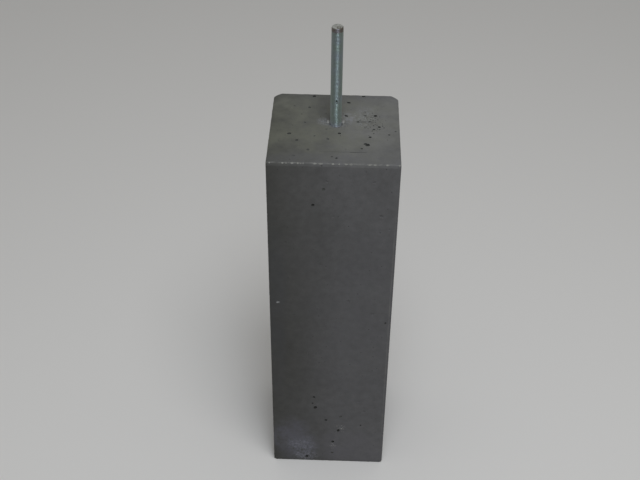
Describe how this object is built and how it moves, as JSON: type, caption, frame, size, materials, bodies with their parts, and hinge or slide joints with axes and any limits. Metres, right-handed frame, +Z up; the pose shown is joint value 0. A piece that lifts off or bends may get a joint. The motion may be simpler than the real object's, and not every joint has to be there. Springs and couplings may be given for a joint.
{
  "type": "column base block",
  "caption": "Square cast concrete post base in anthracite with two chamfered back edges and a zinc-plated threaded rod standing out of its top.",
  "frame": {"origin": "middle of the block's underside", "axes": "+Z up along the block and the rod, -Y out of the front face, +X to the right as seen from the front"},
  "size_m": [0.18, 0.18, 0.75],
  "materials": {
    "concrete": "cast concrete, dyed anthracite, matt and cloudy, with open bug-holes and whitish lime on its edges",
    "zinc_plate": "electroplated zinc on a rolled thread, blue-grey and half glossy"
  },
  "bodies": {
    "root": {"concrete_block": "concrete", "threaded_rod": "zinc_plate"}
  },
  "joints": []
}
